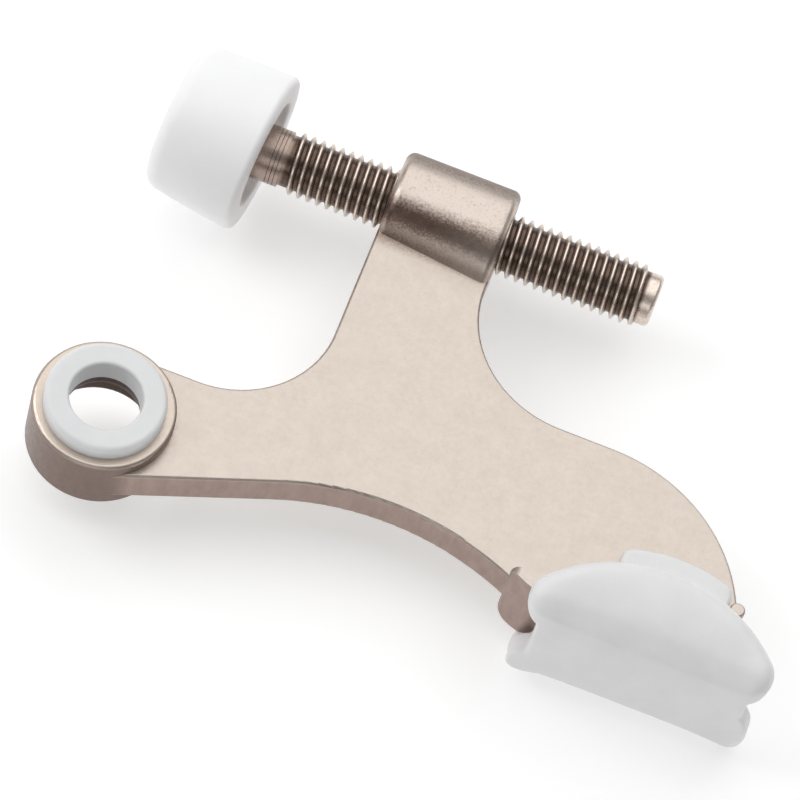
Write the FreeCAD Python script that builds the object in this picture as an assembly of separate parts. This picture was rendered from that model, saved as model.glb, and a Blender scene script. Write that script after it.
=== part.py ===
"""Hinge-pin door stop: arm casting, pin bush, threaded rod, snap-on bumper and foot pad.

Millimetres.  +Z runs along the hinge pin, +X along the threaded rod towards its free end, +Y
from pad to rod.  Pieces are shaped about the arm's middle plane, then saved with the origin at
the centre of the hinge-pin bore on the front face of the ring boss.
"""
import FreeCAD, Part
import math
import os

V = FreeCAD.Vector

# Arm plate
PLATE_T = 4.86
PLATE_EDGE_R = 0.4
NECK_LEFT_X = 21.9
NECK_RIGHT_X = 36.85
ARM_FILLET_R = 13.0
NECK_FILLET_R = 14.5
SHOULDER_Y = 20.65
SHOULDER_X = 58.3
SHOULDER_R = 21.6
BELLY_X = 36.3
BELLY_TOP_Y = 2.35
BELLY_R = 38.0

# Ring boss around the hinge pin
BOSS_R = 8.68
BOSS_T = 8.68
BOSS_EDGE_R = 0.5
PIN_BORE_R = 4.65
SLEEVE_R = 5.5
SLEEVE_DEPTH = 1.35
RING_WEB_T = 2.95
RING_CORE_R = 7.0

# Threaded barrel
ROD_Y = 43.75
BARREL_R = 6.6
BARREL_LEFT_DROP = 0.3
BARREL_RIGHT_DROP = 2.0
BARREL_EDGE_R = 1.1
BARREL_MOUTH_R = 4.35

# Foot rail under the arm and its end nub
RAIL_HALF_Z = 5.7
RAIL_BOTTOM_Y = -3.3
RAIL_TOP_Y = -1.25
RAIL_LEFT_X = 51.9
RAIL_FLAT_X = 57.0
RAIL_RIGHT_X = 80.2
RAIL_CORNER_R = 1.5
RAIL_EDGE_R = 0.25
NUB_X = 78.75
NUB_Y = 5.75
NUB_R = 0.95
NUB_HALF_Z = 2.95
NUB_EDGE_R = 0.3

# Hinge-pin bush
BUSH_FLANGE_R = 7.37
BUSH_FLANGE_T = 2.03
BUSH_EDGE_R = 0.7
BUSH_BORE_R = 4.4
BUSH_MOUTH_R = 0.4

# M8 x 1.25 thread, right hand
PITCH = 1.25
THREAD_CREST_R = 3.95
THREAD_ROOT_R = 3.26
THREAD_CREST_W = 0.2
THREAD_ROOT_W = 1.0
NUT_MINOR_R = 3.4
NUT_MAJOR_R = 4.08
NUT_CREST_W = 0.34
NUT_ROOT_W = 1.12
SWEEP_OVERLAP = 0.12

# Rod stations along X
BUMPER_BACK_X = 5.5
THREAD_LEFT_X = 8.0
THREAD_RIGHT_X = 55.4
ROD_TIP_X = 56.9
ROD_TIP_R = 3.3
ROD_TIP_EDGE_R = 0.6
NECK_R = 3.6
HEAD_R = 5.6
HEAD_T = 2.4
NECK_RING_COUNT = 3
NECK_RING_W = 0.22
NECK_RING_GAP = 0.5
NECK_RING_DEPTH = 0.14

# Front bumper
BUMPER_L = 12.4
BUMPER_BACK_R = 10.35
BUMPER_FRONT_R = 9.6
BUMPER_FRONT_EDGE_R = 2.4
BUMPER_BACK_EDGE_R = 0.7
RECESS_R = 6.85
RECESS_DEPTH = 3.0
WEB_T = 1.7
WEB_BORE_R = 3.85
HEAD_GAP = 0.6
HEAD_ROOM_R = 6.0
BUMPER_TILT_DEG = 5.0
BUMPER_PIVOT_X = 0.7

# Foot pad
PAD_HALF_Z = 9.9
PAD_LEFT_X = 54.8
PAD_RIGHT_X = 85.2
PAD_BOTTOM_Y = -7.0
PAD_SIDE_Y = -3.0
PAD_CORNER_R = 2.65
PAD_DOME_Y = 4.4
PAD_EDGE_R = 2.6
WAIST_LEFT_X = 56.95
WAIST_RIGHT_X = 83.4
LIP_LEFT_X = 63.6
LIP_RIGHT_X = 77.6
LIP_TOP_Y = 9.2
LIP_SIDE_Y = 7.9
LIP_T = 1.1
LIP_CORNER_R = 1.6
LIP_EDGE_R = 0.5


def line(start, end):
    return Part.makeLine(V(*start, 0), V(*end, 0))


def arc(start, middle, end):
    return Part.Arc(V(*start, 0), V(*middle, 0), V(*end, 0)).toShape()


def on_circle(cx, cy, radius, degrees):
    angle = math.radians(degrees)
    return (cx + radius * math.cos(angle), cy + radius * math.sin(angle))


def slab(edges, low_z, high_z):
    """Close the edges into a face and extrude it from low_z to high_z."""
    face = Part.Face(Part.Wire(edges))
    face.translate(V(0, 0, low_z))
    return face.extrude(V(0, 0, high_z - low_z))


def cylinder_z(radius, low_z, high_z, x=0.0, y=0.0):
    return Part.makeCylinder(radius, high_z - low_z, V(x, y, low_z), V(0, 0, 1))


def rim_edges(solid, level_z):
    """All edges of a solid that lie flat at one height."""
    found = []
    for edge in solid.Edges:
        box = edge.BoundBox
        if abs(box.ZMin - level_z) < 1e-4 and abs(box.ZMax - level_z) < 1e-4:
            found.append(edge)
    return found


def turned_about_rod(points, fillets=()):
    """Revolve an (x, radius) outline about the rod axis, then round the circles in fillets."""
    corners = [V(x, ROD_Y + r, 0) for x, r in points]
    face = Part.Face(Part.makePolygon(corners + corners[:1]))
    solid = face.revolve(V(0, ROD_Y, 0), V(1, 0, 0), 360)
    for x, radius, size in fillets:
        solid = solid.makeFillet(size, circles_at(solid, x, radius))
    return solid


def circles_at(solid, x, radius):
    found = []
    for edge in solid.Edges:
        curve = edge.Curve
        if isinstance(curve, Part.Circle) and abs(curve.Center.x - x) < 1e-4:
            if abs(curve.Radius - radius) < 1e-4:
                found.append(edge)
    return found


def helical_ridge(root_r, crest_r, root_w, crest_w, start_x, length):
    """Solid thread ridge about the rod axis, in phase with every other ridge made here."""
    turns_before = math.ceil(start_x / PITCH)
    first_x = turns_before * PITCH
    helix = Part.makeHelix(PITCH, length, root_r)
    corners = [
        V(root_r, 0, -root_w / 2),
        V(crest_r, 0, -crest_w / 2),
        V(crest_r, 0, crest_w / 2),
        V(root_r, 0, root_w / 2),
    ]
    profile = Part.makePolygon(corners + corners[:1])
    ridge = Part.Wire(helix).makePipeShell([profile], True, True)
    ridge.rotate(V(0, 0, 0), V(0, 1, 0), 90)
    ridge.translate(V(first_x, ROD_Y, 0))
    return ridge


def belly_tangent():
    """Slope in degrees of the straight lower edge, tangent to the ring and to the belly."""
    centre_y = BELLY_TOP_Y - BELLY_R
    reach = math.hypot(BELLY_X, centre_y)
    bearing = math.degrees(math.atan2(centre_y, BELLY_X))
    return math.degrees(math.acos(-(BELLY_R + BOSS_R) / reach)) - 90 + bearing


def plate():
    """The flat arm with its neck, shoulder and belly."""
    arm_cx = NECK_LEFT_X - ARM_FILLET_R
    arm_cy = BOSS_R + ARM_FILLET_R
    neck_cx = NECK_RIGHT_X + NECK_FILLET_R
    neck_cy = SHOULDER_Y + NECK_FILLET_R
    shoulder_cy = SHOULDER_Y - SHOULDER_R
    centre_y = BELLY_TOP_Y - BELLY_R
    slope = belly_tangent()
    tangent = on_circle(BELLY_X, centre_y, BELLY_R, 90 + slope)
    end_angle = math.degrees(math.asin((RAIL_BOTTOM_Y + 1.0 - shoulder_cy) / SHOULDER_R))
    end = on_circle(SHOULDER_X, shoulder_cy, SHOULDER_R, end_angle)
    middle = on_circle(SHOULDER_X, shoulder_cy, SHOULDER_R, (90 + end_angle) / 2)
    belly_end_x = RAIL_LEFT_X + 0.6
    belly_end = (belly_end_x, centre_y + math.sqrt(BELLY_R ** 2 - (belly_end_x - BELLY_X) ** 2))
    heel = (RAIL_FLAT_X, end[1])
    ring_low = on_circle(0, 0, BOSS_R - 0.02, slope - 90)
    edges = [
        line((0, BOSS_R), (arm_cx, BOSS_R)),
        arc((arm_cx, BOSS_R), on_circle(arm_cx, arm_cy, ARM_FILLET_R, -45), (NECK_LEFT_X, arm_cy)),
        line((NECK_LEFT_X, arm_cy), (NECK_LEFT_X, ROD_Y)),
        line((NECK_LEFT_X, ROD_Y), (NECK_RIGHT_X, ROD_Y)),
        line((NECK_RIGHT_X, ROD_Y), (NECK_RIGHT_X, neck_cy)),
        arc((NECK_RIGHT_X, neck_cy), on_circle(neck_cx, neck_cy, NECK_FILLET_R, -135),
            (neck_cx, SHOULDER_Y)),
        line((neck_cx, SHOULDER_Y), (SHOULDER_X, SHOULDER_Y)),
        arc((SHOULDER_X, SHOULDER_Y), middle, end),
        line(end, heel),
        line(heel, belly_end),
        arc(belly_end, (BELLY_X, BELLY_TOP_Y), tangent),
        line(tangent, ring_low),
        line(ring_low, (0, 0)),
        line((0, 0), (0, BOSS_R)),
    ]
    body = slab(edges, -PLATE_T / 2, PLATE_T / 2)
    rims = rim_edges(body, PLATE_T / 2) + rim_edges(body, -PLATE_T / 2)
    return body.makeFillet(PLATE_EDGE_R, rims)


def ring_boss():
    boss = cylinder_z(BOSS_R, -BOSS_T / 2, BOSS_T / 2)
    return boss.makeFillet(BOSS_EDGE_R, rim_edges(boss, BOSS_T / 2) + rim_edges(boss, -BOSS_T / 2))


def barrel_section(x, drop):
    """Round section of the barrel, stretched towards the neck by drop."""
    top = ROD_Y + BARREL_R
    low = ROD_Y - drop
    upper = Part.Arc(V(x, ROD_Y, -BARREL_R), V(x, top, 0), V(x, ROD_Y, BARREL_R)).toShape()
    front = Part.makeLine(V(x, ROD_Y, BARREL_R), V(x, low, BARREL_R))
    lower = Part.Arc(V(x, low, BARREL_R), V(x, low - BARREL_R, 0), V(x, low, -BARREL_R)).toShape()
    back = Part.makeLine(V(x, low, -BARREL_R), V(x, ROD_Y, -BARREL_R))
    return Part.Wire([upper, front, lower, back])


def barrel():
    left = barrel_section(NECK_LEFT_X, BARREL_LEFT_DROP)
    right = barrel_section(NECK_RIGHT_X, BARREL_RIGHT_DROP)
    body = Part.makeLoft([left, right], True, True)
    ends = []
    for edge in body.Edges:
        box = edge.BoundBox
        if box.XLength < 1e-4:
            ends.append(edge)
    return body.makeFillet(BARREL_EDGE_R, ends)


def threaded_hole():
    """Cutter for the female thread: bore, helical groove and two lead-in cones."""
    reach = 2 * PITCH
    length = NECK_RIGHT_X - NECK_LEFT_X + 2 * reach
    start = NECK_LEFT_X - reach
    bore = Part.makeCylinder(NUT_MINOR_R, length, V(start, ROD_Y, 0), V(1, 0, 0))
    groove = helical_ridge(NUT_MINOR_R - SWEEP_OVERLAP, NUT_MAJOR_R, NUT_ROOT_W, NUT_CREST_W,
                           start, length)
    cutters = [groove]
    depth = BARREL_MOUTH_R - NUT_MINOR_R
    cone = Part.makeCone(BARREL_MOUTH_R, NUT_MINOR_R, depth, V(NECK_LEFT_X, ROD_Y, 0), V(1, 0, 0))
    cutters.append(cone)
    cone = Part.makeCone(BARREL_MOUTH_R, NUT_MINOR_R, depth, V(NECK_RIGHT_X, ROD_Y, 0), V(-1, 0, 0))
    cutters.append(cone)
    return bore, cutters


def foot_rail():
    """Flat rail under the arm: ski-tip at the left, square ends rounded in plan."""
    tip_low = (RAIL_LEFT_X + 0.25, RAIL_TOP_Y - 0.3)
    knee = ((tip_low[0] + RAIL_FLAT_X) / 2, RAIL_BOTTOM_Y + 0.42)
    edges = [
        line((RAIL_LEFT_X + 0.5, RAIL_TOP_Y + 0.3), (RAIL_LEFT_X, RAIL_TOP_Y + 0.1)),
        line((RAIL_LEFT_X, RAIL_TOP_Y + 0.1), tip_low),
        arc(tip_low, knee, (RAIL_FLAT_X, RAIL_BOTTOM_Y)),
        line((RAIL_FLAT_X, RAIL_BOTTOM_Y), (RAIL_RIGHT_X, RAIL_BOTTOM_Y)),
        line((RAIL_RIGHT_X, RAIL_BOTTOM_Y), (RAIL_RIGHT_X, RAIL_TOP_Y)),
        line((RAIL_RIGHT_X, RAIL_TOP_Y), (RAIL_LEFT_X + 0.5, RAIL_TOP_Y + 0.3)),
    ]
    side = slab(edges, -RAIL_HALF_Z, RAIL_HALF_Z)
    plan = Part.makeBox(RAIL_RIGHT_X - RAIL_LEFT_X, 10, 2 * RAIL_HALF_Z,
                        V(RAIL_LEFT_X, RAIL_BOTTOM_Y - 3, -RAIL_HALF_Z))
    uprights = []
    for edge in plan.Edges:
        box = edge.BoundBox
        if box.XLength < 1e-4 and box.ZLength < 1e-4:
            uprights.append(edge)
    return side.common(plan.makeFillet(RAIL_CORNER_R, uprights))


def nub():
    body = cylinder_z(NUB_R, -NUB_HALF_Z, NUB_HALF_Z, NUB_X, NUB_Y)
    return body.makeFillet(NUB_EDGE_R, rim_edges(body, NUB_HALF_Z) + rim_edges(body, -NUB_HALF_Z))


def arm_casting():
    body = plate().fuse([ring_boss(), barrel(), foot_rail(), nub()]).removeSplitter()
    face_z = BOSS_T / 2
    body = body.cut(cylinder_z(PIN_BORE_R, -BOSS_T, BOSS_T))
    body = body.cut(cylinder_z(RING_CORE_R, -BOSS_T, face_z - RING_WEB_T))
    body = body.cut(cylinder_z(SLEEVE_R, face_z - SLEEVE_DEPTH, BOSS_T))
    bore, cutters = threaded_hole()
    body = body.cut(bore)
    for cutter in cutters:
        body = body.cut(cutter)
    return body


def hinge_pin_bush():
    face_z = BOSS_T / 2
    top_z = face_z + BUSH_FLANGE_T
    foot_z = face_z - SLEEVE_DEPTH
    flange = cylinder_z(BUSH_FLANGE_R, face_z, top_z)
    flange = flange.makeFillet(BUSH_EDGE_R, rim_edges(flange, top_z))
    body = flange.fuse(cylinder_z(SLEEVE_R, foot_z, face_z)).removeSplitter()
    body = body.cut(cylinder_z(BUSH_BORE_R, foot_z - 1, top_z + 1))
    mouth = []
    for edge in rim_edges(body, top_z):
        if abs(edge.Curve.Radius - BUSH_BORE_R) < 1e-4:
            mouth.append(edge)
    return body.makeFillet(BUSH_MOUTH_R, mouth)


def web_left_x():
    return BUMPER_BACK_X - RECESS_DEPTH - WEB_T


def threaded_rod():
    head_right = web_left_x() - HEAD_GAP
    head_left = head_right - HEAD_T
    outline = [
        (head_left, 0), (head_left, HEAD_R), (head_right, HEAD_R), (head_right, NECK_R),
        (THREAD_LEFT_X, NECK_R), (THREAD_LEFT_X, THREAD_ROOT_R), (THREAD_RIGHT_X, THREAD_ROOT_R),
        (THREAD_RIGHT_X, ROD_TIP_R), (ROD_TIP_X, ROD_TIP_R), (ROD_TIP_X, 0),
    ]
    core = turned_about_rod(outline, [
        (ROD_TIP_X, ROD_TIP_R, ROD_TIP_EDGE_R),
        (head_left, HEAD_R, ROD_TIP_EDGE_R),
    ])
    ridge = helical_ridge(THREAD_ROOT_R - SWEEP_OVERLAP, THREAD_CREST_R, THREAD_ROOT_W,
                          THREAD_CREST_W, THREAD_LEFT_X, THREAD_RIGHT_X - THREAD_LEFT_X - PITCH)
    body = core.fuse(ridge)
    body = body.cut(thread_lead_in(THREAD_LEFT_X, -1))
    body = body.cut(thread_lead_in(THREAD_RIGHT_X, 1))
    for index in range(NECK_RING_COUNT):
        ring_x = THREAD_LEFT_X - NECK_RING_GAP * (index + 1)
        body = body.cut(neck_ring(ring_x))
    return body


def thread_lead_in(end_x, outward):
    """Ring that tapers the thread crests down towards end_x."""
    rise = THREAD_CREST_R - NECK_R
    return turned_about_rod([
        (end_x, NECK_R - 0.1), (end_x - outward * (rise + 1.0), THREAD_CREST_R + 0.2),
        (end_x, THREAD_CREST_R + 0.2),
    ])


def neck_ring(x):
    return turned_about_rod([
        (x - NECK_RING_W / 2, NECK_R + 0.3), (x, NECK_R - NECK_RING_DEPTH),
        (x + NECK_RING_W / 2, NECK_R + 0.3),
    ])


def front_bumper():
    """Soft cap loose on the rod head, hanging a few degrees out of line with the rod."""
    back = BUMPER_BACK_X
    front = back - BUMPER_L
    recess = back - RECESS_DEPTH
    web_left = web_left_x()
    room_left = web_left - 2 * HEAD_GAP - HEAD_T
    outline = [
        (front, 0), (front, BUMPER_FRONT_R), (back, BUMPER_BACK_R), (back, RECESS_R),
        (recess, RECESS_R), (recess, WEB_BORE_R), (web_left, WEB_BORE_R), (web_left, HEAD_ROOM_R),
        (room_left, HEAD_ROOM_R), (room_left, 0),
    ]
    body = turned_about_rod(outline, [
        (front, BUMPER_FRONT_R, BUMPER_FRONT_EDGE_R),
        (back, BUMPER_BACK_R, BUMPER_BACK_EDGE_R),
        (back, RECESS_R, BUMPER_BACK_EDGE_R / 2),
    ])
    body.rotate(V(BUMPER_PIVOT_X, ROD_Y, 0), V(0, 0, 1), -BUMPER_TILT_DEG)
    return body


def rounded_corners(solid, radius):
    """Round the upright edges of a slab."""
    uprights = []
    for edge in solid.Edges:
        box = edge.BoundBox
        if box.XLength < 1e-4 and box.YLength < 1e-4:
            uprights.append(edge)
    return solid.makeFillet(radius, uprights)


def pad_body():
    middle_x = (PAD_LEFT_X + PAD_RIGHT_X) / 2
    edges = [
        line((PAD_LEFT_X, PAD_BOTTOM_Y), (PAD_RIGHT_X, PAD_BOTTOM_Y)),
        line((PAD_RIGHT_X, PAD_BOTTOM_Y), (PAD_RIGHT_X, PAD_SIDE_Y)),
        arc((PAD_RIGHT_X, PAD_SIDE_Y), (middle_x, PAD_DOME_Y), (PAD_LEFT_X, PAD_SIDE_Y)),
        line((PAD_LEFT_X, PAD_SIDE_Y), (PAD_LEFT_X, PAD_BOTTOM_Y)),
    ]
    body = rounded_corners(slab(edges, -PAD_HALF_Z, PAD_HALF_Z), PAD_CORNER_R)
    return body.makeFillet(PAD_EDGE_R, rim_edges(body, PAD_HALF_Z) + rim_edges(body, -PAD_HALF_Z))


def pad_lip():
    middle_x = (LIP_LEFT_X + LIP_RIGHT_X) / 2
    low_y = RAIL_TOP_Y + 1
    reach = PLATE_T / 2 + LIP_T
    edges = [
        line((LIP_LEFT_X, low_y), (LIP_RIGHT_X, low_y)),
        line((LIP_RIGHT_X, low_y), (LIP_RIGHT_X, LIP_SIDE_Y)),
        arc((LIP_RIGHT_X, LIP_SIDE_Y), (middle_x, LIP_TOP_Y), (LIP_LEFT_X, LIP_SIDE_Y)),
        line((LIP_LEFT_X, LIP_SIDE_Y), (LIP_LEFT_X, low_y)),
    ]
    body = rounded_corners(slab(edges, -reach, reach), LIP_CORNER_R)
    return body.makeFillet(LIP_EDGE_R, rim_edges(body, reach) + rim_edges(body, -reach))


def waist_cutter(waist_x, outward):
    """Removes the middle of one end, leaving a round bead at the front and at the back."""
    bead_z = PAD_HALF_Z - PAD_EDGE_R
    low_y = PAD_BOTTOM_Y - 2
    height = PAD_DOME_Y - PAD_BOTTOM_Y + 4
    reach = 4.0
    start_x = waist_x if outward > 0 else waist_x - reach
    cutter = Part.makeBox(reach, height, 2 * bead_z, V(start_x, low_y, -bead_z))
    end_x = PAD_RIGHT_X if outward > 0 else PAD_LEFT_X
    bead_x = end_x - outward * PAD_EDGE_R
    for side in (-1, 1):
        bead = Part.makeCylinder(PAD_EDGE_R, height, V(bead_x, low_y, side * bead_z), V(0, 1, 0))
        cutter = cutter.cut(bead)
    return cutter


def foot_pad(casting):
    """Pad moulded to fit the rail and the arm snugly."""
    body = pad_body()
    body = body.cut(waist_cutter(WAIST_LEFT_X, -1))
    body = body.cut(waist_cutter(WAIST_RIGHT_X, 1))
    body = body.fuse(pad_lip())
    return body.cut(casting)


def save(name, shape):
    if not shape.isValid():
        print("not valid", name)
    solids = shape.Solids
    print(name, len(solids), "solid", round(shape.Volume, 1), "mm3")
    result = solids[0] if len(solids) == 1 else shape
    result.translate(V(0, 0, -BOSS_T / 2))
    result.exportStep(os.path.join("parts", name + ".step"))


def main():
    os.makedirs("parts", exist_ok=True)
    casting = arm_casting()
    save("arm_casting", casting)
    save("hinge_pin_bush", hinge_pin_bush())
    save("threaded_rod", threaded_rod())
    save("front_bumper", front_bumper())
    save("foot_pad", foot_pad(casting))


main()
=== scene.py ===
"""Hinge-pin door stop: satin-nickel arm and rod, white bush, bumper and foot pad."""
import math

import bpy
import bmesh
from mathutils import Matrix, Vector


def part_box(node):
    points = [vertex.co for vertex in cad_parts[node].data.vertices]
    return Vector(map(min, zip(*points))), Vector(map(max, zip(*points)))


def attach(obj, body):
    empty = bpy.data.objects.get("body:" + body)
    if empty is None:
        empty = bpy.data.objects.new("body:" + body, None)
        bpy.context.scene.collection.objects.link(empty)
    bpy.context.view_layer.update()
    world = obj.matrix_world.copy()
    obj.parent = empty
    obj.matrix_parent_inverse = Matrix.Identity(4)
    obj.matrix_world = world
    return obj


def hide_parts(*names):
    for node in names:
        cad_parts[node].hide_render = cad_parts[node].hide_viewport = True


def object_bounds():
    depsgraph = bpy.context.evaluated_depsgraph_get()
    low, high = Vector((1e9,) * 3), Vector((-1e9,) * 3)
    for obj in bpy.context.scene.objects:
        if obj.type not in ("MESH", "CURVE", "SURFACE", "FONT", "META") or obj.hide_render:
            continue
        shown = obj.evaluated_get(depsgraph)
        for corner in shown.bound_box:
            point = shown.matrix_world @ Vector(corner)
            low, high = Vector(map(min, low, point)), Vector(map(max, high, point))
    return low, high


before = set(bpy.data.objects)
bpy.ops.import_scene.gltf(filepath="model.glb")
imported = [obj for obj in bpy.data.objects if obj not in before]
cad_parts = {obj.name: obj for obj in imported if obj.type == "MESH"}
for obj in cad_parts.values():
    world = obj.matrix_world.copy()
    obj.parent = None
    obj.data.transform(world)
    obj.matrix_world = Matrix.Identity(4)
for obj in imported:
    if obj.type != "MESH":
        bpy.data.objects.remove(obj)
CAD_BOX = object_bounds()

MM = 0.001
WHITE = (1, 1, 1, 1)

# The hinge pin stands on the Z axis. The rod lies parallel to X, through this Y and Z.
ROD_Y = 43.75 * MM
ROD_Z = -4.34 * MM
SQUARE_TO_X = (0, 1, 1)
SQUARE_TO_Z = (1, 1, 0)

# Colour zones, most of them for painted light and shade: a colour fades between the two distances of
# its zone.
BARREL_ZONE = (7.2 * MM, 8.8 * MM)
WALL_ZONE = (8.8 * MM, 10.0 * MM)
RING_ZONE = (8.6 * MM, 9.2 * MM)
BORE_ZONE = (7.0 * MM, 7.2 * MM)
THREAD_ZONE = (3.30 * MM, 3.88 * MM)
NECK_ZONE = (8.0 * MM, 8.6 * MM)
TIP_ZONE = (55.0 * MM, 55.4 * MM)
BARREL_ANGLES = (-50.0, 100.0)

# Satin nickel colours; the walls, ring wall, bore, barrel, thread roots, crests and neck carry
# painted shade, highlights and reflections
PLATE_LOW = (0.535, 0.470, 0.415)
PLATE_HIGH = (0.570, 0.505, 0.450)
# Painted shade on the upright walls round the outline, with a random tone
WALL_PAINTED_SHADE_LOW = (0.315, 0.228, 0.196)
WALL_PAINTED_SHADE_HIGH = (0.385, 0.288, 0.250)
RING_FACE = (0.60, 0.515, 0.44)
# Painted shade on the ring's outer wall, darker than the other walls
RING_WALL_PAINTED_SHADE = (0.135, 0.090, 0.075)
# Painted shade down the bore of the ring
BORE_PAINTED_SHADE = (0.055, 0.032, 0.024)
SPECK_BROWN = (0.30, 0.22, 0.19)
PIT_BROWN = (0.25, 0.18, 0.15)
WORN_EDGE = (0.58, 0.50, 0.44)
# Barrel: painted highlight, painted shade and painted reflections, set by the angle round the rod
BARREL_PAINTED_HIGHLIGHT = (0.60, 0.52, 0.46)
BARREL_PAINTED_DARK_REFLECTION = (0.165, 0.112, 0.090)
BARREL_PAINTED_EDGE_SHADE = (0.17, 0.12, 0.10)
BARREL_PAINTED_HALF_SHADE = (0.30, 0.235, 0.20)
BARREL_PAINTED_LOW_REFLECTION = (0.50, 0.40, 0.34)
BARREL_SHADE = (0.27, 0.20, 0.165)
# Thread: painted shade in the roots, painted highlight on the crests
ROOT_PAINTED_SHADE_LOW = (0.085, 0.053, 0.040)
ROOT_PAINTED_SHADE_HIGH = (0.150, 0.100, 0.078)
CREST_PAINTED_HIGHLIGHT_LOW = (0.66, 0.56, 0.49)
CREST_PAINTED_HIGHLIGHT_HIGH = (0.82, 0.72, 0.64)
# Painted shade on the neck beside the bumper
NECK_PAINTED_SHADE = (0.40, 0.31, 0.265)

# Bumper, millimetres along the rod and out from it
BUMPER_BACK_X = 5.5 * MM
BUMPER_LENGTH = 12.4 * MM
BUMPER_BACK_R = 10.35 * MM
BUMPER_FRONT_R = 9.6 * MM
BUMPER_TAPER_DEG = 94
FRONT_ROUND = 2.1 * MM
BACK_ROUND = 0.8 * MM
BACK_ROUND_INSET = 0.05 * MM
SIDE_MIDDLE_X = 6.0 * MM
SIDE_MIDDLE_RISE = 0.36 * MM
FACE_RINGS = (0.0, 3.0 * MM)
FACE_MARGIN = 1.0 * MM
RECESS_R = 6.85 * MM
RECESS_DEPTH = 3.0 * MM
RECESS_LIP = 0.4 * MM
WEB_THICKNESS = 1.7 * MM
WEB_HOLE_R = 3.85 * MM
WEB_HOLE_CHAMFER = 0.2 * MM
HEAD_ROOM_R = 6.0 * MM
HEAD_ROOM_LENGTH = 3.6 * MM
TILT_PIVOT_X = 0.7 * MM
TILT_DEG = -5

# Foot pad
LOBE_R = 2.5 * MM
LOBE_LIFT = 0.05 * MM
LEFT_LOBE_INSET = 0.2 * MM
LEFT_LOBE_BACK = 6.2 * MM
LEFT_LOBE_HEIGHT = 3.2 * MM
LEFT_LOBE_STRETCH = 1.2
RIGHT_LOBE_INSET = 0.3 * MM
RIGHT_LOBE_BACK = 3.2 * MM
RIGHT_LOBE_HEIGHT = 2.4 * MM
RIGHT_LOBE_STRETCH = 1.7
PAD_VOXEL = 0.22 * MM
PAD_SMOOTHING = 12
END_PULL = 0.4 * MM
FRONT_PULL = 2.2 * MM
FRONT_PULL_LEFT_AT_ENDS = 0.85
CONTACT_CROWN = 0.5 * MM

# Studio
FLOOR_SIZE = 3.0
FLOOR_GREY = (0.72, 0.72, 0.72, 1)
SCENE_MIDDLE = (0.035, 0.020, 0)
CAMERA_PLACE = (0.04646, -0.28925, 0.52232)
CAMERA_RIGHT = (0.9327, 0.3221, 0.1623)
CAMERA_BACK = (0.0235, -0.5033, 0.8638)
CAMERA_LENS = 227.4
CAMERA_SENSOR = 36.0


# ---------------------------------------------------------------- materials

def new_material(name):
    material = bpy.data.materials.new(name)
    material.use_nodes = True
    tree = material.node_tree
    tree.nodes.clear()
    output = tree.nodes.new("ShaderNodeOutputMaterial")
    shader = tree.nodes.new("ShaderNodeBsdfPrincipled")
    tree.links.new(shader.outputs["BSDF"], output.inputs["Surface"])
    return material, tree, shader


def noise(tree, scale, detail=3.0, rough=0.55, stretch=(1, 1, 1)):
    """Noise in the row frame, with scale in features per metre."""
    place = tree.nodes.new("ShaderNodeTexCoord")
    mapping = tree.nodes.new("ShaderNodeMapping")
    mapping.inputs["Scale"].default_value = stretch
    texture = tree.nodes.new("ShaderNodeTexNoise")
    texture.inputs["Scale"].default_value = scale
    texture.inputs["Detail"].default_value = detail
    texture.inputs["Roughness"].default_value = rough
    tree.links.new(place.outputs["Object"], mapping.inputs["Vector"])
    tree.links.new(mapping.outputs["Vector"], texture.inputs["Vector"])
    return texture.outputs["Fac"]


def ramp(tree, value, stops):
    node = tree.nodes.new("ShaderNodeValToRGB")
    elements = node.color_ramp.elements
    while len(elements) < len(stops):
        elements.new(0.5)
    for element, (position, colour) in zip(elements, stops):
        element.position = position
        element.color = (*colour, 1.0)
    tree.links.new(value, node.inputs["Fac"])
    return node.outputs["Color"]


def remap(tree, value, low, high, start=0.3, end=0.7):
    """Value changed to run from low at start to high at end, and clamped there."""
    node = tree.nodes.new("ShaderNodeMapRange")
    node.inputs["From Min"].default_value = start
    node.inputs["From Max"].default_value = end
    node.inputs["To Min"].default_value = low
    node.inputs["To Max"].default_value = high
    tree.links.new(value, node.inputs["Value"])
    return node.outputs["Result"]


def two_tone(tree, value, low, high):
    return ramp(tree, value, [(0.30, low), (0.70, high)])


def mix_colour(tree, factor, first, second):
    node = tree.nodes.new("ShaderNodeMix")
    node.data_type = "RGBA"
    connect(tree, factor, node.inputs[0])
    connect(tree, first, node.inputs[6])
    connect(tree, second, node.inputs[7])
    return node.outputs[2]


def combine(tree, operation, first, second):
    """One two-input math node."""
    node = tree.nodes.new("ShaderNodeMath")
    node.operation = operation
    connect(tree, first, node.inputs[0])
    connect(tree, second, node.inputs[1])
    return node.outputs["Value"]


def single(tree, operation, value):
    """One one-input math node."""
    node = tree.nodes.new("ShaderNodeMath")
    node.operation = operation
    tree.links.new(value, node.inputs[0])
    return node.outputs["Value"]


def place_in_frame(tree, origin=(0, 0, 0)):
    """The shaded point in metres from origin, as the piece stood at rest."""
    place = tree.nodes.new("ShaderNodeTexCoord")
    shift = tree.nodes.new("ShaderNodeVectorMath")
    shift.operation = "SUBTRACT"
    shift.inputs[1].default_value = origin
    tree.links.new(place.outputs["Object"], shift.inputs[0])
    return shift.outputs["Vector"]


def split_axes(tree, vector):
    split = tree.nodes.new("ShaderNodeSeparateXYZ")
    tree.links.new(vector, split.inputs["Vector"])
    return split.outputs


def connect(tree, value, socket):
    """Link a node's output to socket, or set the socket to a colour or number."""
    if hasattr(value, "is_linked"):
        tree.links.new(value, socket)
    elif isinstance(value, tuple):
        socket.default_value = (*value, 1.0)
    else:
        socket.default_value = value


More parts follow.
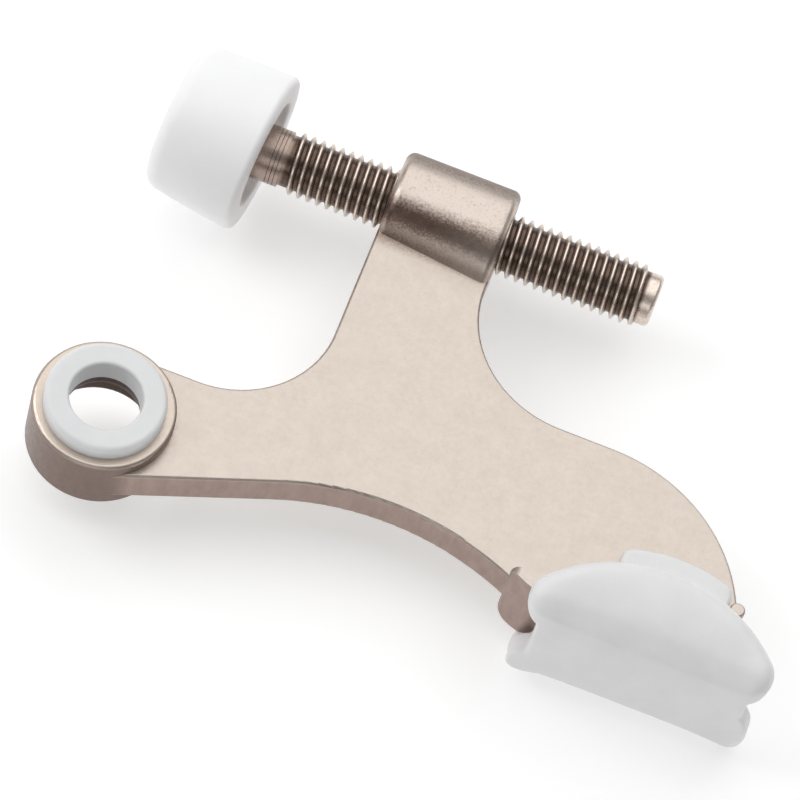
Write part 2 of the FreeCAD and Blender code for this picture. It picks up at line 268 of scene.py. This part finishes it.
def bump(tree, shader, layers):
    """Stack of (height socket, strength, distance in metres) on the shader's normal."""
    previous = None
    for height, strength, distance in layers:
        node = tree.nodes.new("ShaderNodeBump")
        connect(tree, strength, node.inputs["Strength"])
        node.inputs["Distance"].default_value = distance
        tree.links.new(height, node.inputs["Height"])
        if previous is not None:
            tree.links.new(previous, node.inputs["Normal"])
        previous = node.outputs["Normal"]
    tree.links.new(previous, shader.inputs["Normal"])


def edge_wear(tree, radius):
    """1 along convex and concave edges within radius, 0 on open faces."""
    rounded = tree.nodes.new("ShaderNodeBevel")
    rounded.samples = 4
    rounded.inputs["Radius"].default_value = radius
    plain = tree.nodes.new("ShaderNodeNewGeometry")
    agree = tree.nodes.new("ShaderNodeVectorMath")
    agree.operation = "DOT_PRODUCT"
    tree.links.new(rounded.outputs["Normal"], agree.inputs[0])
    tree.links.new(plain.outputs["Normal"], agree.inputs[1])
    return remap(tree, agree.outputs["Value"], 1.0, 0.0, 0.90, 0.995)


def distance_from_line(tree, point, across):
    """Distance in metres from a line through point; across is 1 on the axes it is square to."""
    flat = tree.nodes.new("ShaderNodeVectorMath")
    flat.operation = "MULTIPLY"
    flat.inputs[1].default_value = across
    length = tree.nodes.new("ShaderNodeVectorMath")
    length.operation = "LENGTH"
    tree.links.new(place_in_frame(tree, point), flat.inputs[0])
    tree.links.new(flat.outputs["Vector"], length.inputs[0])
    return length.outputs["Value"]


def distance_from_rod(tree):
    return distance_from_line(tree, (0, ROD_Y, ROD_Z), SQUARE_TO_X)


def angle_round_rod(tree):
    """Degrees round the rod, 0 at +Z and growing towards -Y."""
    axes = split_axes(tree, place_in_frame(tree, (0, ROD_Y, ROD_Z)))
    forward = combine(tree, "MULTIPLY", axes["Y"], -1)
    return single(tree, "DEGREES", combine(tree, "ARCTAN2", forward, axes["Z"]))


def barrel_painted_reflections(tree):
    """Painted highlight on top and a painted dark reflection band along the barrel's lower front,
    set by the angle round the rod.
    """
    jitter = remap(tree, noise(tree, 3600, 3, 0.6), -4.0, 4.0, 0.35, 0.65)
    angle = combine(tree, "ADD", angle_round_rod(tree), jitter)
    return ramp(tree, remap(tree, angle, 0.0, 1.0, *BARREL_ANGLES), [
        (0.04, BARREL_PAINTED_EDGE_SHADE), (0.11, BARREL_PAINTED_HALF_SHADE), (0.18, BARREL_PAINTED_HIGHLIGHT), (0.47, BARREL_PAINTED_HIGHLIGHT),
        (0.57, BARREL_PAINTED_DARK_REFLECTION), (0.66, BARREL_PAINTED_DARK_REFLECTION), (0.73, BARREL_PAINTED_LOW_REFLECTION), (0.80, BARREL_SHADE),
        (0.88, BARREL_PAINTED_HIGHLIGHT)])


def upright_share(tree):
    """0 on faces square to the hinge pin, 1 on the walls around the outline."""
    node = tree.nodes.new("ShaderNodeTexCoord")
    axes = split_axes(tree, node.outputs["Normal"])
    return remap(tree, single(tree, "ABSOLUTE", axes["Z"]), 1.0, 0.0, 0.15, 0.85)


def casting_colour(tree, near_barrel, grain, coarse):
    """Bright plate, dull ring face, painted shade on the walls and down the bore, painted highlight
    and reflections round the barrel, specks, pits and worn edges.
    """
    rod_distance = distance_from_rod(tree)
    pin_distance = distance_from_line(tree, (0, 0, 0), SQUARE_TO_Z)
    near_ring = remap(tree, pin_distance, 0.8, 0.0, *RING_ZONE)
    in_bore = remap(tree, pin_distance, 1.0, 0.0, *BORE_ZONE)
    plate = two_tone(tree, noise(tree, 420, 4, 0.6), PLATE_LOW, PLATE_HIGH)
    # Round the barrel the colour is painted highlight, shade and reflections by angle
    colour = mix_colour(tree, near_barrel, plate, barrel_painted_reflections(tree))
    colour = mix_colour(tree, near_ring, colour, RING_FACE)
    # Painted shade on the upright walls, darker still on the ring's outer wall
    wall_shade = two_tone(tree, noise(tree, 900, 4, 0.6, (1, 1, 0.35)), WALL_PAINTED_SHADE_LOW, WALL_PAINTED_SHADE_HIGH)
    wall_shade = mix_colour(tree, near_ring, wall_shade, RING_WALL_PAINTED_SHADE)
    off_barrel = remap(tree, rod_distance, 0.0, 1.0, *WALL_ZONE)
    on_wall = combine(tree, "MULTIPLY", upright_share(tree), off_barrel)
    colour = mix_colour(tree, on_wall, colour, wall_shade)
    # Painted shade down the bore
    colour = mix_colour(tree, in_bore, colour, BORE_PAINTED_SHADE)
    colour = mix_colour(tree, remap(tree, grain, 0.0, 0.18, 0.58, 0.70), colour, SPECK_BROWN)
    pitted = combine(tree, "MULTIPLY", remap(tree, coarse, 0.0, 0.40, 0.56, 0.68), near_barrel)
    colour = mix_colour(tree, pitted, colour, PIT_BROWN)
    wear = remap(tree, edge_wear(tree, 0.45 * MM), 0.0, 0.35, 0.0, 1.0)
    return mix_colour(tree, wear, colour, WORN_EDGE)


def casting_material():
    """Satin nickel: bright on the tumbled faces, painted shade on the walls, painted highlight and
    reflections round the barrel, grainy on the barrel.
    """
    material, tree, shader = new_material("satin_nickel_casting")
    near_barrel = remap(tree, distance_from_rod(tree), 1.0, 0.0, *BARREL_ZONE)
    grain = noise(tree, 4200, 2, 0.6)
    coarse = noise(tree, 2600, 3, 0.7)
    colour = casting_colour(tree, near_barrel, grain, coarse)
    tree.links.new(colour, shader.inputs["Base Color"])
    shader.inputs["Metallic"].default_value = 0.9
    tree.links.new(remap(tree, noise(tree, 1500, 3), 0.30, 0.42), shader.inputs["Roughness"])
    bump(tree, shader, [
        (grain, 0.14, 0.04 * MM),
        (coarse, remap(tree, near_barrel, 0.04, 0.40, 0.0, 1.0), 0.06 * MM),
        (noise(tree, 900, 2, 0.5), 0.06, 0.10 * MM),
    ])
    return material


def rod_material():
    """Painted highlight on the thread crests and the tip, painted shade down in the roots and on the
    neck.
    """
    material, tree, shader = new_material("satin_nickel_rod")
    along = split_axes(tree, place_in_frame(tree))["X"]
    height = remap(tree, distance_from_rod(tree), 0.0, 1.0, *THREAD_ZONE)
    # Painted shade in the thread roots, painted highlight on the crests, each with a random tone
    root_shade = two_tone(tree, noise(tree, 1300, 3, 0.6), ROOT_PAINTED_SHADE_LOW, ROOT_PAINTED_SHADE_HIGH)
    crest_highlight = two_tone(tree, noise(tree, 1900, 3, 0.6), CREST_PAINTED_HIGHLIGHT_LOW, CREST_PAINTED_HIGHLIGHT_HIGH)
    colour = mix_colour(tree, height, root_shade, crest_highlight)
    # Painted shade on the neck beside the bumper; the tip takes the painted-highlight crest colour
    colour = mix_colour(tree, remap(tree, along, 1.0, 0.0, *NECK_ZONE), colour, NECK_PAINTED_SHADE)
    colour = mix_colour(tree, remap(tree, along, 0.0, 1.0, *TIP_ZONE), colour, crest_highlight)
    tree.links.new(colour, shader.inputs["Base Color"])
    shader.inputs["Metallic"].default_value = 0.85
    tree.links.new(remap(tree, noise(tree, 2600, 3), 0.24, 0.36), shader.inputs["Roughness"])
    bump(tree, shader, [(noise(tree, 6000, 2, 0.5), 0.15, 0.03 * MM)])
    return material


def polymer_material(name, low, high, rough, soft, radius):
    """Moulded nylon or rubber: faint mottle and dust, light scattered under the skin."""
    material, tree, shader = new_material(name)
    tone = two_tone(tree, noise(tree, 240, 3, 0.5), low, high)
    dust = remap(tree, noise(tree, 1500, 2, 0.5), 0.0, 0.10, 0.60, 0.75)
    dusty = tuple(channel * 0.86 for channel in low)
    tree.links.new(mix_colour(tree, dust, tone, dusty), shader.inputs["Base Color"])
    gloss = remap(tree, noise(tree, 900, 3), rough - 0.05, rough + 0.06)
    tree.links.new(gloss, shader.inputs["Roughness"])
    shader.inputs["Subsurface Weight"].default_value = soft
    shader.inputs["Subsurface Radius"].default_value = (radius, radius * 0.95, radius * 0.9)
    shader.inputs["Subsurface Scale"].default_value = 1.0
    shader.inputs["Specular IOR Level"].default_value = 0.45
    bump(tree, shader, [
        (noise(tree, 2600, 3, 0.5), 0.10, 0.05 * MM),
        (noise(tree, 300, 2, 0.5), 0.06, 0.20 * MM),
    ])
    return material


def nylon_material():
    return polymer_material("white_nylon", (0.74, 0.745, 0.75), (0.78, 0.785, 0.79),
                            rough=0.42, soft=0.15, radius=1.0 * MM)


def bumper_material():
    return polymer_material("white_bumper_rubber", (0.95, 0.95, 0.955), (0.97, 0.97, 0.975),
                            rough=0.50, soft=0.15, radius=1.5 * MM)


def pad_material():
    return polymer_material("white_pad_rubber", (0.79, 0.79, 0.795), (0.83, 0.83, 0.835),
                            rough=0.40, soft=0.25, radius=2.0 * MM)


def floor_material():
    material, tree, shader = new_material("studio_floor")
    shader.inputs["Base Color"].default_value = FLOOR_GREY
    shader.inputs["Roughness"].default_value = 0.9
    shader.inputs["Emission Color"].default_value = WHITE
    shader.inputs["Emission Strength"].default_value = 0.42
    return material


def paint(obj, material):
    obj.data.materials.clear()
    obj.data.materials.append(material)


def paint_node(name, material):
    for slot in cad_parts[name].material_slots:
        slot.material = material


# ---------------------------------------------------------------- meshes

def mesh_object(name, mesh, material, smooth=True):
    obj = bpy.data.objects.new(name, mesh)
    bpy.context.collection.objects.link(obj)
    paint(obj, material)
    for polygon in mesh.polygons:
        polygon.use_smooth = smooth
    return obj


def arc_points(cx, cr, radius, start, end, count=8):
    """Points of an arc in an (axial, radial) profile, from start to end degrees."""
    points = []
    for index in range(count + 1):
        angle = math.radians(start + (end - start) * index / count)
        points.append((cx + radius * math.cos(angle), cr + radius * math.sin(angle)))
    return points


def lathe(name, profile, place, material, steps=160):
    """Closed (axial, radial) profile turned about the axis that place maps X onto."""
    work = bmesh.new()
    rings = []
    for index in range(steps):
        angle = 2 * math.pi * index / steps
        ring = []
        for axial, radial in profile:
            point = Vector((axial, radial * math.cos(angle), radial * math.sin(angle)))
            ring.append(work.verts.new(place @ point))
        rings.append(ring)
    count = len(profile)
    for index in range(steps):
        ring = rings[index]
        following = rings[(index + 1) % steps]
        for corner in range(count):
            after = (corner + 1) % count
            work.faces.new((ring[corner], ring[after], following[after], following[corner]))
    bmesh.ops.remove_doubles(work, verts=work.verts, dist=1e-7)
    bmesh.ops.recalc_face_normals(work, faces=work.faces)
    mesh = bpy.data.meshes.new(name)
    work.to_mesh(mesh)
    work.free()
    return mesh_object(name, mesh, material)


def apply_modifiers(obj):
    graph = bpy.context.evaluated_depsgraph_get()
    mesh = bpy.data.meshes.new_from_object(obj.evaluated_get(graph))
    obj.modifiers.clear()
    obj.data = mesh


# ---------------------------------------------------------------- pieces

def bumper_profile():
    """Closed (axial, radial) outline of the bumper, with axial measured along the rod."""
    front_x = BUMPER_BACK_X - BUMPER_LENGTH
    side_r = BUMPER_FRONT_R - FRONT_ROUND
    rim_r = BUMPER_BACK_R - BACK_ROUND - BACK_ROUND_INSET
    recess_x = BUMPER_BACK_X - RECESS_DEPTH
    web_x = recess_x - WEB_THICKNESS
    room_x = web_x - HEAD_ROOM_LENGTH
    profile = [(front_x, radial) for radial in (*FACE_RINGS, side_r - FACE_MARGIN)]
    profile += arc_points(front_x + FRONT_ROUND, side_r, FRONT_ROUND, 180, BUMPER_TAPER_DEG, 12)
    profile.append((front_x + SIDE_MIDDLE_X, BUMPER_FRONT_R + SIDE_MIDDLE_RISE))
    profile += arc_points(BUMPER_BACK_X - BACK_ROUND, rim_r, BACK_ROUND, BUMPER_TAPER_DEG, 0, 8)
    profile += arc_points(BUMPER_BACK_X - RECESS_LIP, RECESS_R + RECESS_LIP, RECESS_LIP, 0, -90, 5)
    profile += arc_points(recess_x + RECESS_LIP, RECESS_R - RECESS_LIP, RECESS_LIP, 90, 180, 4)
    profile += [(recess_x, WEB_HOLE_R + WEB_HOLE_CHAMFER), (recess_x - WEB_HOLE_CHAMFER, WEB_HOLE_R)]
    profile += [(web_x, WEB_HOLE_R), (web_x, HEAD_ROOM_R), (room_x, HEAD_ROOM_R), (room_x, 0.0)]
    return profile


def build_bumper(material):
    """The bumper hangs on the rod head, a few degrees out of line with the rod."""
    pivot = Matrix.Translation((TILT_PIVOT_X, ROD_Y, ROD_Z))
    tilt = Matrix.Rotation(math.radians(TILT_DEG), 4, "Z")
    place = pivot @ tilt @ Matrix.Translation((-TILT_PIVOT_X, 0, 0))
    piece = lathe("bumper_moulding", bumper_profile(), place, material)
    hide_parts("front_bumper")
    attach(piece, "bumper")


def add_lobe(work, x, z, base_y, height, stretch):
    """An upright round bead, stretched along Z."""
    centre = Matrix.Translation((x, base_y + height / 2, z))
    longer = Matrix.Scale(stretch, 4, (0, 0, 1))
    upright = Matrix.Rotation(math.radians(90), 4, "X")
    bmesh.ops.create_cone(work, cap_ends=True, segments=48, radius1=LOBE_R, radius2=LOBE_R,
                          depth=height, matrix=centre @ longer @ upright)


def add_back_lobes(mesh):
    """Widen the pad's back lobes towards the rail by a bead at either end."""
    low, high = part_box("foot_pad")
    base_y = low[1] + LOBE_LIFT
    middle_z = (low[2] + high[2]) / 2
    left_x = low[0] + LOBE_R + LEFT_LOBE_INSET
    right_x = high[0] - LOBE_R - RIGHT_LOBE_INSET
    work = bmesh.new()
    work.from_mesh(mesh)
    add_lobe(work, left_x, middle_z - LEFT_LOBE_BACK, base_y, LEFT_LOBE_HEIGHT, LEFT_LOBE_STRETCH)
    add_lobe(work, right_x, middle_z - RIGHT_LOBE_BACK, base_y, RIGHT_LOBE_HEIGHT,
             RIGHT_LOBE_STRETCH)
    work.to_mesh(mesh)
    work.free()


def soften(piece):
    """Join the overlapping solids into one skin and round its edges."""
    remesh = piece.modifiers.new("remesh", "REMESH")
    remesh.mode = "VOXEL"
    remesh.voxel_size = PAD_VOXEL
    smooth = piece.modifiers.new("smooth", "SMOOTH")
    smooth.factor = 0.5
    smooth.iterations = PAD_SMOOTHING
    apply_modifiers(piece)


def crown_pad(mesh):
    """Draw the front and back in towards the contact face, and crown that face."""
    low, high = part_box("foot_pad")
    middle = [(low[axis] + high[axis]) / 2 for axis in range(3)]
    half = [(high[axis] - low[axis]) / 2 for axis in range(3)]
    for vertex in mesh.vertices:
        along = (vertex.co.x - middle[0]) / half[0]
        side = (vertex.co.z - middle[2]) / half[2]
        depth = min(1.0, max(0.0, (middle[1] - vertex.co.y) / half[1]))
        front = FRONT_PULL * depth * depth * (1 - FRONT_PULL_LEFT_AT_ENDS * along ** 4)
        vertex.co.z -= (END_PULL * along * along + front) * side ** 3
        vertex.co.y += CONTACT_CROWN * depth ** 3 * abs(side) ** 3 * (1 - along ** 4)


def build_pad(material):
    """The pad's moulding: softened edges, crowned front and back."""
    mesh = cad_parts["foot_pad"].data.copy()
    add_back_lobes(mesh)
    piece = mesh_object("pad_moulding", mesh, material)
    soften(piece)
    paint(piece, material)
    crown_pad(piece.data)
    for polygon in piece.data.polygons:
        polygon.use_smooth = True
    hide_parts("foot_pad")
    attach(piece, "arm")


def build_floor(material):
    low, high = CAD_BOX
    mesh = bpy.data.meshes.new("floor")
    corners = []
    for x, y in ((-1, -1), (1, -1), (1, 1), (-1, 1)):
        corners.append((x * FLOOR_SIZE, y * FLOOR_SIZE, low[2]))
    mesh.from_pydata(corners, [], [(0, 1, 2, 3)])
    floor = mesh_object("floor", mesh, material, smooth=False)


# ---------------------------------------------------------------- stage

def area_light(name, place, target, size, watts):
    data = bpy.data.lights.new(name, "AREA")
    data.shape = "RECTANGLE"
    data.size = size[0]
    data.size_y = size[1]
    data.energy = watts
    light = bpy.data.objects.new(name, data)
    bpy.context.collection.objects.link(light)
    light.location = place
    direction = Vector(target) - Vector(place)
    light.rotation_euler = direction.to_track_quat("-Z", "Y").to_euler()


def build_world():
    """Soft studio surround: brighter behind the rod, dimmer on the pad's side."""
    world = bpy.data.worlds.new("studio")
    world.use_nodes = True
    tree = world.node_tree
    background = tree.nodes["Background"]
    place = tree.nodes.new("ShaderNodeTexCoord")
    axes = split_axes(tree, place.outputs["Generated"])
    strength = remap(tree, axes["Y"], 0.22, 0.34, -0.60, 0.20)
    tree.links.new(strength, background.inputs["Strength"])
    background.inputs["Color"].default_value = WHITE
    bpy.context.scene.world = world


def build_lights():
    area_light("overhead", place=(0.02, 0.50, 0.87), target=SCENE_MIDDLE, size=(1.3, 1.6), watts=7.6)
    area_light("left fill", place=(-0.35, 0, 0.35), target=(0, 0.02, 0), size=(0.3, 0.3), watts=0.8)
    area_light("front fill", place=(0.05, -0.60, 0.30), target=SCENE_MIDDLE, size=(0.5, 0.3),
               watts=0.45)


def build_camera():
    data = bpy.data.cameras.new("camera")
    data.sensor_width = CAMERA_SENSOR
    data.lens = CAMERA_LENS
    data.clip_start = 0.01
    data.clip_end = 20.0
    camera = bpy.data.objects.new("camera", data)
    bpy.context.collection.objects.link(camera)
    right = Vector(CAMERA_RIGHT).normalized()
    back = Vector(CAMERA_BACK).normalized()
    up = back.cross(right)
    turn = Matrix((right, up, back)).transposed().to_4x4()
    camera.matrix_world = Matrix.Translation(CAMERA_PLACE) @ turn
    bpy.context.scene.camera = camera


def main():
    paint_node("arm_casting", casting_material())
    paint_node("threaded_rod", rod_material())
    paint_node("hinge_pin_bush", nylon_material())
    build_bumper(bumper_material())
    build_pad(pad_material())
    build_floor(floor_material())
    build_world()
    build_lights()
    build_camera()
    bpy.context.scene.view_settings.view_transform = "Standard"


main()
